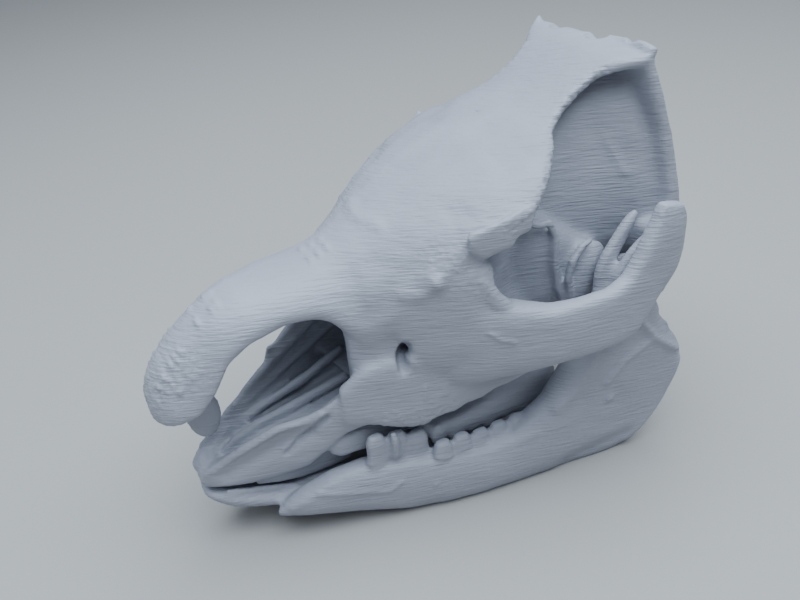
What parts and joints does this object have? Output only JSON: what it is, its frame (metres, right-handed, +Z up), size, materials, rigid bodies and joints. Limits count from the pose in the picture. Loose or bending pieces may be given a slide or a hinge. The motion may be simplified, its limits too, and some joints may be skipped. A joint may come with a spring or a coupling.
{
  "type": "rhinoceros skull model",
  "caption": "Small grey plastic printed model of a rhinoceros skull with its lower jaw closed, standing on the jaw as a still display piece.",
  "frame": {"origin": "on the ground, under the middle of the model's box", "axes": "+X towards the back of the skull, the snout points along -X; +Y towards the skull's right side; +Z up"},
  "size_m": [0.1672, 0.0956, 0.1291],
  "materials": {
    "grey_plastic": "satin grey printed plastic with fine layer lines"
  },
  "bodies": {
    "root": {"braincase": "grey_plastic", "face": "grey_plastic", "nasal_bones": "grey_plastic", "premaxilla_left": "grey_plastic", "premaxilla_right": "grey_plastic", "cheek_arch_left": "grey_plastic", "cheek_arch_right": "grey_plastic", "jaw_left": "grey_plastic", "jaw_right": "grey_plastic", "jaw_front": "grey_plastic"}
  },
  "joints": []
}
